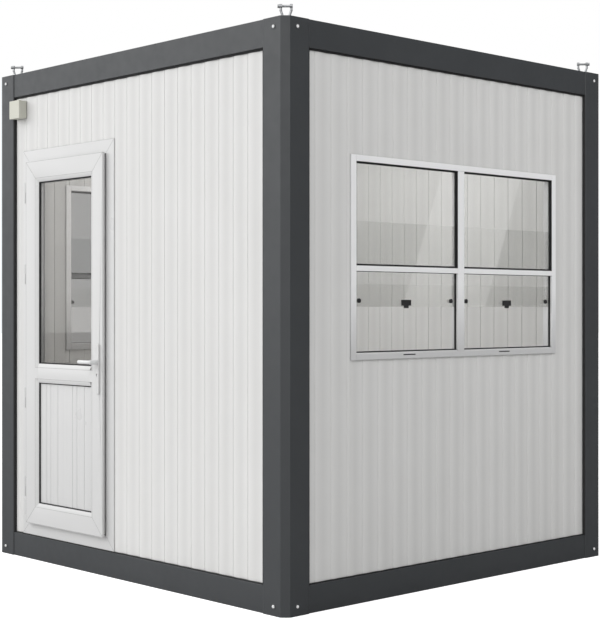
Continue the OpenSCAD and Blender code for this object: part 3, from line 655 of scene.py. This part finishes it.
# %% Places on a wall
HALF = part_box("post_front_right")[1].x


def on_wall(side, along, deep, high):
    """The point that is along a wall, deep from the posts' face and high from the ground."""
    if side == "front":
        return Vector((along, -HALF + deep, high))
    if side == "back":
        return Vector((-along, HALF - deep, high))
    if side == "door":
        return Vector((-HALF + deep, -along, high))
    return Vector((HALF - deep, along, high))


print("half width:", round(HALF, 4))


# %% Paths and outlines
def box_path(left, right, foot, head):
    """The four corners of a box on a wall."""
    return [(left, foot), (right, foot), (right, head), (left, head)]


def stadium(along, high, width, height, steps=32):
    """A slot's outline with round ends."""
    radius = min(width, height) / 2
    reach = Vector((width / 2 - radius, height / 2 - radius))
    turns = [math.pi * 2 * i / steps for i in range(steps)]
    return [
        (
            along + math.copysign(reach.x, math.cos(a)) + radius * math.cos(a),
            high + math.copysign(reach.y, math.sin(a)) + radius * math.sin(a),
        )
        for a in turns
    ]


print("outlines:", box_path.__name__, stadium.__name__)


# %% Swept strips
def swept_strip(bm, side, path, section, closed=True):
    """Sweeps a section of (inward, deep) points along a path of (along, high) corners."""
    rings = []
    for i, corner in enumerate(path):
        here = Vector(corner)
        turns = []
        if closed or i > 0:
            turns.append(here - Vector(path[i - 1]))
        if closed or i < len(path) - 1:
            turns.append(Vector(path[(i + 1) % len(path)]) - here)
        inward = [Vector((-t.y, t.x)).normalized() for t in turns]
        mitre = inward[0]
        if len(inward) > 1:
            mitre = (inward[0] + inward[1]) / (1 + inward[0].dot(inward[1]))
        places = [(here.x + mitre.x * d, r, here.y + mitre.y * d) for d, r in section]
        rings.append([bm.verts.new(on_wall(side, *place)) for place in places])
    for i in range(len(rings) if closed else len(rings) - 1):
        first, second = rings[i], rings[(i + 1) % len(rings)]
        for j in range(len(section)):
            k = (j + 1) % len(section)
            bm.faces.new((first[j], first[k], second[k], second[j]))
    if not closed:
        bm.faces.new(rings[0])
        bm.faces.new(rings[-1])


print("sweep:", swept_strip.__name__)


# %% Pushed and turned shapes
def pushed(bm, side, outline, near, far):
    """An outline of (along, high) points, pushed from one depth to another."""
    front = [bm.verts.new(on_wall(side, u, near, z)) for u, z in outline]
    back = [bm.verts.new(on_wall(side, u, far, z)) for u, z in outline]
    bm.faces.new(front)
    bm.faces.new(back)
    for i in range(len(outline)):
        j = (i + 1) % len(outline)
        bm.faces.new((front[i], front[j], back[j], back[i]))


def turned(bm, profile, foot, axis, steps=24):
    """A profile of (radius, height) points turned about an axis from its foot."""
    up = Vector(axis).normalized()
    across = up.orthogonal().normalized()
    beside = up.cross(across)
    rings = []
    for radius, height in profile:
        middle = foot + up * height
        turns = [2 * math.pi * i / steps for i in range(steps)] if radius else [0]
        spokes = [(across * math.cos(a) + beside * math.sin(a)) * radius for a in turns]
        rings.append([bm.verts.new(middle + spoke) for spoke in spokes])
    for first, second in zip(rings, rings[1:]):
        for i in range(steps):
            here = [ring[i % len(ring)] for ring in (first, second)]
            there = [ring[(i + 1) % len(ring)] for ring in (first, second)]
            corners = [here[0], there[0], there[1], here[1]]
            bm.faces.new(list(dict.fromkeys(corners)))
    for ring in (rings[0], rings[-1]):
        if len(ring) > 1:
            bm.faces.new(ring)


print("shapes:", pushed.__name__, turned.__name__)


# %% From mesh to piece
def finished(name, bm, finish, body):
    """Turns a mesh in the making into a piece that rides on a body."""
    bmesh.ops.recalc_face_normals(bm, faces=bm.faces)
    mesh = bpy.data.meshes.new(name)
    bm.to_mesh(mesh)
    bm.free()
    mesh.shade_smooth()
    mesh.set_sharp_from_angle(angle=SHARP)
    mesh.materials.append(finish)
    piece = bpy.data.objects.new(name, mesh)
    scene.collection.objects.link(piece)
    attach(piece, body)
    print(name, "faces:", len(mesh.polygons))


print("edges sharper than", round(math.degrees(SHARP)), "degrees stay sharp")

# %% [markdown]
# ## Seals where the walls meet the frame
# The wall panels stand back from the frame, and black seals fill the corners: a tall one hangs
# under the top rail, a low one lies on the bottom rail and thin ones run up the posts. Each is a
# straight strip swept along its edge. The low one is kept in front of the door frame, whose face
# stands further out than the wall.

# %% The walls' edges and the seals' sections
CLEAR_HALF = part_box("front_top_rail")[1].x
WALL_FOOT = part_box("right_wall")[0].z
WALL_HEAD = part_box("right_wall")[1].z
WALL_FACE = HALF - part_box("right_wall")[1].x
SEAL_DEPTH = 0.0045
SEAL_FOOT = 0.0035
SEAL_FLAT = 0.7
SEAL_CROWN = 0.0003
SEAL_ROUND = 0.0018
HEAD_SEAL_HIGH = 0.0092
FOOT_SEAL_HIGH = 0.006
SIDE_SEAL_WIDE = 0.0026
SIDE_SEAL_DEPTH = 0.0140


def seal_section(wide, face, depth=SEAL_DEPTH):
    """A strip with a rounded front edge that reaches from before a face to just behind it."""
    front = face - depth
    back = face + SEAL_FOOT
    edge = [(wide * SEAL_FLAT, front + SEAL_CROWN), (wide, front + SEAL_ROUND)]
    return [(0, front), *edge, (wide, back), (0, back)]


head_section = seal_section(HEAD_SEAL_HIGH, WALL_FACE)
side_section = seal_section(SIDE_SEAL_WIDE, WALL_FACE, SIDE_SEAL_DEPTH)
print("seals from", round(WALL_FOOT, 3), "to", round(WALL_HEAD, 3), "m up")

# %% Wall seals
DOOR_FRAME_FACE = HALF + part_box("door_frame_jambs")[0].x
DOOR_LEFT = -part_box("door_frame_jambs")[1].y
DOOR_RIGHT = -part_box("door_frame_jambs")[0].y
PLAIN_STRETCH = [(-CLEAR_HALF, CLEAR_HALF, WALL_FACE)]
DOOR_STRETCHES = [
    (-CLEAR_HALF, DOOR_LEFT, WALL_FACE),
    (DOOR_LEFT, DOOR_RIGHT, DOOR_FRAME_FACE),
    (DOOR_RIGHT, CLEAR_HALF, WALL_FACE),
]
SIDES = ("front", "back", "door", "right")

wall_seals = bmesh.new()
for side in SIDES:
    head = [(CLEAR_HALF, WALL_HEAD), (-CLEAR_HALF, WALL_HEAD)]
    swept_strip(wall_seals, side, head, head_section, closed=False)
    for end in (-1, 1):
        post = [(end * CLEAR_HALF, WALL_FOOT), (end * CLEAR_HALF, WALL_HEAD)][::end]
        swept_strip(wall_seals, side, post, side_section, closed=False)
    for left, right, face in DOOR_STRETCHES if side == "door" else PLAIN_STRETCH:
        foot = [(left, WALL_FOOT), (right, WALL_FOOT)]
        swept_strip(wall_seals, side, foot, seal_section(FOOT_SEAL_HIGH, face), closed=False)
finished("wall_seals", wall_seals, black_rubber, "booth")

# %% [markdown]
# ## Window seals and guides
# The upper panes are held by a rubber seal that lines the opening and ends in a wide lip on the
# glass, with a smaller one behind the glass. The lower lights have a brush guide in front of the
# sash's groove. All are closed loops swept round the opening. The sill slopes a little, so the
# guide's section dips to meet it.

# %% The windows' openings
WINDOW_LOW, WINDOW_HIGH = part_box("front_window_uprights")
WINDOW_MID = (WINDOW_LOW.x + WINDOW_HIGH.x) / 2
WINDOW_FACE = HALF + WINDOW_LOW.y
MULLION_HALF = 0.0235
LIGHT_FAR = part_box("front_window_crossbars")[1].x - WINDOW_MID
LIGHTS = [
    (WINDOW_MID - LIGHT_FAR, WINDOW_MID - MULLION_HALF),
    (WINDOW_MID + MULLION_HALF, WINDOW_MID + LIGHT_FAR),
]
SILL_HIGH = 0.036
HEAD_HIGH = 0.029
TRANSOM_RISE = 0.4285
TRANSOM_HIGH = 0.025
SILL_TOP = WINDOW_LOW.z + SILL_HIGH
HEAD_FOOT = WINDOW_HIGH.z - HEAD_HIGH
TRANSOM_TOP = WINDOW_LOW.z + TRANSOM_RISE
TRANSOM_FOOT = TRANSOM_TOP - TRANSOM_HIGH
print("lights:", [round(right - left, 3) for left, right in LIGHTS], "m wide")

# %% Window seals
FIXED_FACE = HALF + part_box("fixed_panes")[0].y
SASH_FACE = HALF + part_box("sliding_panes")[0].y
GLASS_THICK = 0.004
FIXED_BACK = FIXED_FACE + GLASS_THICK
SEAL_TUCK = -0.0005
PANE_SEAL_FROM = WINDOW_FACE + 0.0016
PANE_SEAL = [
    (SEAL_TUCK, PANE_SEAL_FROM), (0.0012, PANE_SEAL_FROM), (0.0020, FIXED_FACE - 0.0045),
    (0.0085, FIXED_FACE - 0.0022), (0.0088, FIXED_FACE), (SEAL_TUCK, FIXED_FACE),
]
BACK_SEAL = [
    (SEAL_TUCK, FIXED_BACK), (0.0065, FIXED_BACK), (0.0050, FIXED_BACK + 0.0018),
    (0.0012, FIXED_BACK + 0.0042), (SEAL_TUCK, FIXED_BACK + 0.0042),
]
GUIDE_DIP = -0.0045
GUIDE_FROM = SASH_FACE - 0.0105
GUIDE_TO = SASH_FACE - 0.0008
SASH_GUIDE = [
    (GUIDE_DIP, GUIDE_FROM), (0.0014, GUIDE_FROM), (0.0024, SASH_FACE - 0.0060),
    (0.0024, GUIDE_TO), (GUIDE_DIP, GUIDE_TO),
]

pane_seals, sash_guides = bmesh.new(), bmesh.new()
for side in ("front", "back"):
    for left, right in LIGHTS:
        upper = box_path(left, right, TRANSOM_TOP, HEAD_FOOT)
        swept_strip(pane_seals, side, upper, PANE_SEAL)
        swept_strip(pane_seals, side, upper, BACK_SEAL)
        swept_strip(sash_guides, side, box_path(left, right, SILL_TOP, TRANSOM_FOOT), SASH_GUIDE)
finished("pane_seals", pane_seals, black_rubber, "booth")
finished("sash_guides", sash_guides, black_rubber, "booth")

# %% [markdown]
# ## Films on the sashes and drain slots
# Each raised sash has a grey film along its foot, a hand's width high, which shows as a darker
# band. It is a thin sheet on the room side of the glass. The sill has two drain slots, which look
# black because nothing in them catches light, so each gets a dark liner as painted shade.

# %% Sash films and painted shade in the drains
FILM_HEIGHT = 0.1035
FILM_THICK = 0.0006
FILM_GAP = 0.0001
EDGE_CLEAR = 0.003
SASH_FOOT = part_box("sliding_panes")[0].z
SASH_BACK = SASH_FACE + GLASS_THICK
DRAIN_SIZE = (0.0835, 0.0046)
DRAIN_PLACES = (-0.370, 0.333)
DRAIN_HIGH = SILL_TOP - 0.018
DRAIN_FROM = WINDOW_FACE + 0.0015
DRAIN_TO = WINDOW_FACE + 0.0075

films, drains = bmesh.new(), bmesh.new()
for side in ("front", "back"):
    for left, right in LIGHTS:
        film = box_path(left + EDGE_CLEAR, right - EDGE_CLEAR, SASH_FOOT, SASH_FOOT + FILM_HEIGHT)
        pushed(films, side, film, SASH_BACK + FILM_GAP, SASH_BACK + FILM_THICK)
    for place in DRAIN_PLACES:
        drain = stadium(WINDOW_MID + place, DRAIN_HIGH, *DRAIN_SIZE)
        pushed(drains, side, drain, DRAIN_FROM, DRAIN_TO)
finished("sash_films", films, sash_film, "booth")
# Painted shade: a dark liner in each drain slot.
finished("drain_painted_shades", drains, black_plastic, "booth")

# %% [markdown]
# ## Door seals
# A thin black seal shows between the sloping beads and the glass, and round the lower panel too.
# On the room side the seal is white, and a pale spacer keeps the two panes apart, so the glass has
# no dark rim. The panes reach into grooves, so the opening is the pane's box made smaller by the
# groove. The pieces swing with the door.

# %% The door's sections
LEAF_LOW, LEAF_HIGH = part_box("door_stiles")
LEAF_FACE = HALF + LEAF_LOW.x
LEAF_BACK = HALF + LEAF_HIGH.x
BEAD_DEPTH = 0.010
DOOR_PANE_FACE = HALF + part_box("door_glass")[0].x
DOOR_SEAL_FROM = LEAF_FACE + BEAD_DEPTH + 0.001
DOOR_SEAL = [
    (SEAL_TUCK, DOOR_SEAL_FROM), (0.0014, DOOR_SEAL_FROM), (0.0022, DOOR_PANE_FACE - 0.0035),
    (0.0052, DOOR_PANE_FACE - 0.0018), (0.0054, DOOR_PANE_FACE), (SEAL_TUCK, DOOR_PANE_FACE),
]
ROOM_SEAL = [(d, LEAF_FACE + LEAF_BACK - r) for d, r in DOOR_SEAL]
SPACER_WIDE = 0.0040
SPACER_CROWN = 0.0046
SPACER_FROM = DOOR_PANE_FACE + GLASS_THICK
SPACER_TO = LEAF_FACE + LEAF_BACK - SPACER_FROM
SPACER = [
    (SEAL_TUCK, SPACER_FROM), (SPACER_WIDE, SPACER_FROM), (SPACER_CROWN, (SPACER_FROM + SPACER_TO) / 2),
    (SPACER_WIDE, SPACER_TO), (SEAL_TUCK, SPACER_TO),
]
print("door panes", round(SPACER_TO - SPACER_FROM, 4), "m apart")

# %% Door seals
GROOVE = 0.0137


def infill_path(infill, inset):
    """The box of the glass or the lower panel, made smaller by an inset."""
    low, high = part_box(infill)
    return box_path(-high.y + inset, -low.y - inset, low.z + inset, high.z - inset)


door_seals, room_seals, spacer = bmesh.new(), bmesh.new(), bmesh.new()
for infill in ("door_glass", "door_lower_panel"):
    opening = infill_path(infill, GROOVE)
    swept_strip(door_seals, "door", opening, DOOR_SEAL)
    swept_strip(room_seals, "door", opening, ROOM_SEAL)
swept_strip(spacer, "door", infill_path("door_glass", GROOVE), SPACER)
finished("door_seals", door_seals, black_rubber, "door")
finished("door_room_seals", room_seals, door_plastic, "door")
finished("door_pane_spacer", spacer, window_coating, "door")

# %% [markdown]
# ## Ends of the middle rail
# On the real door the middle rail runs flush into the stiles. In the solids the stiles' sloping
# bead goes on beside the rail and leaves a shallow notch. A small block on each side of the leaf
# fills it, so that rail and stiles lie in one plane.

# %% Middle rail ends
BEAD_WIDE = 0.020
LEAF_WIDE = 0.112
RAIL_END_SUNK = 0.002
RAIL_END_DEPTH = BEAD_DEPTH + RAIL_END_SUNK
LEAF_LEFT = -LEAF_HIGH.y
LEAF_RIGHT = -LEAF_LOW.y

rail_ends = bmesh.new()
rail_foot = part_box("door_lower_panel")[1].z - GROOVE + BEAD_WIDE
rail_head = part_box("door_glass")[0].z + GROOVE - BEAD_WIDE
for start in (LEAF_LEFT + LEAF_WIDE - BEAD_WIDE, LEAF_RIGHT - LEAF_WIDE):
    rail_end = box_path(start, start + BEAD_WIDE, rail_foot, rail_head)
    pushed(rail_ends, "door", rail_end, LEAF_FACE, LEAF_FACE + RAIL_END_DEPTH)
    pushed(rail_ends, "door", rail_end, LEAF_BACK - RAIL_END_DEPTH, LEAF_BACK)
finished("mid_rail_ends", rail_ends, door_plastic, "door")

# %% [markdown]
# ## Seam lines of the door
# Plastic door sections are cut at 45 degrees and welded, and a fine grey line stays at each mitre.
# Others run where the glazing beads clip in, and a bead of sealant closes the joint between the
# door frame and the wall. The line along the leaf's edge is painted shade for the leaf's rounded
# edge. Lines this thin can't come from a texture that has no idea of the corners, so they are flat
# strips a fraction of a millimetre proud.

# %% Seam helpers
SEAM_WIDE = 0.0014
SEAM_PROUD = 0.0002
SEAM_SUNK = 0.001


def seam_loop(bm, path, inset, face):
    """A flat line that follows a closed path at an inset."""
    near, far = face - SEAM_PROUD, face + SEAM_SUNK
    start, end = inset, inset + SEAM_WIDE
    swept_strip(bm, "door", path, [(start, near), (end, near), (end, far), (start, far)])


def mitre_lines(bm, path, start, end, face):
    """A short flat line at each corner of a box path, running inward at 45 degrees."""
    middle = (Vector(path[0]) + Vector(path[2])) / 2
    for corner in path:
        to_middle = middle - Vector(corner)
        inward = Vector([math.copysign(1, reach) for reach in to_middle])
        across = Vector((-inward.y, inward.x)).normalized() * SEAM_WIDE / 2
        first = Vector(corner) + inward * start
        last = Vector(corner) + inward * end
        outline = [tuple(p) for p in (first - across, last - across, last + across, first + across)]
        pushed(bm, "door", outline, face - SEAM_PROUD, face + SEAM_SUNK)


print("seams:", SEAM_WIDE, "m wide")

# %% Seams and painted edge shade on the leaf
LEAF_EDGE_SHADE_INSET = 0.0016
LEAF_MITRE_START = 0.004
grey_seam = coated(
    "grey_weld_seam",
    dark=(0.33, 0.33, 0.328), light=(0.39, 0.39, 0.388), rough=(0.4, 0.55), peel=0.0001, cloud=30,
)

leaf_lines_and_shade = bmesh.new()
leaf_path = box_path(LEAF_LEFT, LEAF_RIGHT, LEAF_LOW.z, LEAF_HIGH.z)
# Painted shade: a grey line along the leaf's edge.
seam_loop(leaf_lines_and_shade, leaf_path, LEAF_EDGE_SHADE_INSET, LEAF_FACE)
mitre_lines(leaf_lines_and_shade, leaf_path, LEAF_MITRE_START, LEAF_WIDE - BEAD_WIDE, LEAF_FACE)
for infill in ("door_glass", "door_lower_panel"):
    seam_loop(leaf_lines_and_shade, infill_path(infill, GROOVE - BEAD_WIDE), -SEAM_WIDE, LEAF_FACE)
finished("door_leaf_lines_and_edge_shade", leaf_lines_and_shade, grey_seam, "door")

# %% Seams and sealant of the frame
FRAME_WIDE = 0.062
FRAME_LEFT = LEAF_LEFT - FRAME_WIDE
FRAME_RIGHT = LEAF_RIGHT + FRAME_WIDE
FRAME_FOOT = LEAF_LOW.z - FRAME_WIDE
FRAME_HEAD = LEAF_HIGH.z + FRAME_WIDE
FRAME_MITRE_START = 0.002
SEALANT = [(0, 0.0150), (0.0012, 0.0155), (0.0032, 0.0185), (0.0032, 0.0222), (0, 0.0222)]
grey_sealant = coated(
    "pale_grey_sealant",
    dark=(0.47, 0.47, 0.465), light=(0.54, 0.54, 0.535), rough=(0.4, 0.55), peel=0.0001, cloud=30,
)

frame_seams, sealant = bmesh.new(), bmesh.new()
frame_path = box_path(FRAME_LEFT, FRAME_RIGHT, FRAME_FOOT, FRAME_HEAD)
mitre_lines(frame_seams, frame_path, FRAME_MITRE_START, FRAME_WIDE, DOOR_FRAME_FACE)
round_head = [
    (FRAME_LEFT, WALL_FOOT), (FRAME_LEFT, FRAME_HEAD), (FRAME_RIGHT, FRAME_HEAD), (FRAME_RIGHT, WALL_FOOT),
]
swept_strip(sealant, "door", round_head, SEALANT, closed=False)
finished("door_frame_seams", frame_seams, grey_seam, "booth")
finished("door_frame_sealant", sealant, grey_sealant, "booth")

# %% [markdown]
# ## Keyholes and plate screws
# The lock's plate has a keyhole that looks black, and a screw near each end. The keyhole gets a
# dark plug just below the face of the plate. Each screw is a low dome turned on a lathe, with a
# small pit for the driver.

# %% Keyhole plugs
PLATE_LOW, PLATE_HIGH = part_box("handle_plates")
HANDLE_ALONG = -(PLATE_LOW.y + PLATE_HIGH.y) / 2
KEYHOLE_HIGH = 1.005
KEY_ROUND = 0.0043
KEY_SLOT_HALF = 0.00225
KEY_SLOT_DROP = 0.0108
KEY_TURNS = [math.radians(d) for d in range(40, 321, 20)]
PLUG_RISE = 0.0035

slot_foot = [(HANDLE_ALONG + hand * KEY_SLOT_HALF, KEYHOLE_HIGH - KEY_SLOT_DROP) for hand in (-1, 1)]
key_head = [
    (HANDLE_ALONG + KEY_ROUND * math.sin(a), KEYHOLE_HIGH - KEY_ROUND * math.cos(a)) for a in KEY_TURNS
]
key_plugs = bmesh.new()
pushed(key_plugs, "door", slot_foot + key_head, LEAF_FACE - PLUG_RISE, LEAF_FACE)
pushed(key_plugs, "door", slot_foot + key_head, LEAF_BACK, LEAF_BACK + PLUG_RISE)
finished("keyhole_plugs", key_plugs, black_plastic, "door")

# %% Plate screws
PLATE_THICK = 0.009
SCREW_INSET = 0.016
SCREW = [
    (0.0045, -0.001), (0.0045, 0.0004), (0.0036, 0.0011), (0.0018, 0.0014), (0.0014, 0.0006), (0, 0.0006),
]

plate_screws = bmesh.new()
for high in (PLATE_LOW.z + SCREW_INSET, PLATE_HIGH.z - SCREW_INSET):
    outer = on_wall("door", HANDLE_ALONG, LEAF_FACE - PLATE_THICK, high)
    inner = on_wall("door", HANDLE_ALONG, LEAF_BACK + PLATE_THICK, high)
    turned(plate_screws, SCREW, outer, (-1, 0, 0))
    turned(plate_screws, SCREW, inner, (1, 0, 0))
finished("plate_screws", plate_screws, lever_enamel, "door")

# %% [markdown]
# ## Bolts of the frame
# Each post is bolted to the floor frame and the roof frame through both of its outer flanges. The
# bolts have small white caps on a washer in the colour of the frame. All sixteen caps are one mesh,
# and so are the washers.

# %% Frame bolts
BOLT_INSET = 0.073
BOLT_RISE = 0.042
POST_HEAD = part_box("post_front_left")[1].z
WASHER = [(0.0125, -0.001), (0.0125, 0.0010), (0.0118, 0.0016), (0.0070, 0.0016)]
CAP = [
    (0.0072, -0.001), (0.0072, 0.0030), (0.0066, 0.0043), (0.0050, 0.0054), (0.0027, 0.0060), (0, 0.0062),
]
white_cap = coated(
    "white_bolt_cap",
    dark=(0.88, 0.88, 0.88), light=(0.93, 0.93, 0.93), rough=(0.25, 0.4), peel=0.00004, cloud=40,
)

bolt_caps, bolt_washers = bmesh.new(), bmesh.new()
for side in SIDES:
    outward = on_wall(side, 0, -1, 0) - on_wall(side, 0, 0, 0)
    for end in (-1, 1):
        for high in (BOLT_RISE, POST_HEAD - BOLT_RISE):
            foot = on_wall(side, end * (HALF - BOLT_INSET), 0, high)
            turned(bolt_caps, CAP, foot, outward)
            turned(bolt_washers, WASHER, foot, outward)
finished("bolt_caps", bolt_caps, white_cap, "booth")
finished("bolt_washers", bolt_washers, frame_paint, "booth")

# %% [markdown]
# ## Measure and finish
# The dressed booth keeps the size of its solids, but for the bolt caps. Its box is measured.

# %% Sizes
low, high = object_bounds()
